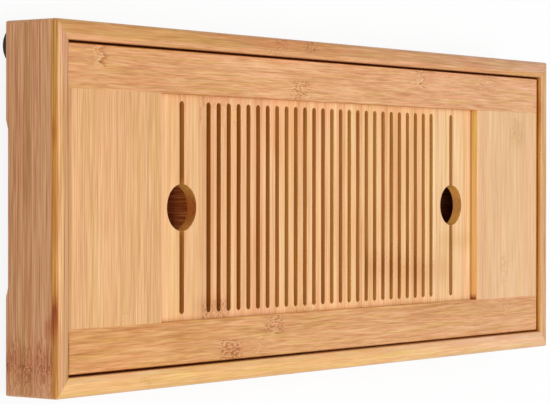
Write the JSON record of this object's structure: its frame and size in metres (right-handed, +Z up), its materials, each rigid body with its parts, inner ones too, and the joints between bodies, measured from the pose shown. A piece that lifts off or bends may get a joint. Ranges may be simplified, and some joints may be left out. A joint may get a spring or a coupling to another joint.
{
  "type": "tea tray",
  "caption": "Low rectangular bamboo gongfu tea tray: mitred rim, lift-out slotted top with finger holes, shallow water reservoir beneath, rubber feet.",
  "frame": {"origin": "on the surface that the feet stand on, under the middle of the tray", "axes": "+X along the length, +Y across the width, +Z up through the slotted top"},
  "size_m": [0.477, 0.185, 0.0388],
  "materials": {
    "rim_bamboo": "satin clear coat",
    "rail_bamboo": "satin clear coat",
    "deck_bamboo": "satin clear coat",
    "grille_bamboo": "satin clear coat",
    "floor_bamboo": "satin clear coat",
    "inner_bamboo": "plain sanded",
    "foot_rubber": "matt moulded",
    "screw_steel": "zinc plated"
  },
  "bodies": {
    "tray": {"rim_left": "rim_bamboo", "rim_right": "rim_bamboo", "rim_front": "rim_bamboo", "rim_back": "rim_bamboo", "corner_splines": "inner_bamboo", "floor_board": "floor_bamboo", "bearer_front": "inner_bamboo", "bearer_back": "inner_bamboo", "bearer_left": "inner_bamboo", "bearer_right": "inner_bamboo", "foot_front_left": "foot_rubber", "foot_back_left": "foot_rubber", "foot_front_right": "foot_rubber", "foot_back_right": "foot_rubber", "foot_screws": "screw_steel"},
    "lift_out_top": {"deck_rail_front": "rail_bamboo", "deck_rail_back": "rail_bamboo", "deck_end_left": "deck_bamboo", "deck_end_right": "deck_bamboo", "deck_dowels": "inner_bamboo", "grille_panel": "grille_bamboo"}
  },
  "joints": [
    {"name": "top_lift", "type": "slide", "parent": "tray", "child": "lift_out_top", "axis": [0, 0, 1], "range_m": [0, 0.06]}
  ]
}
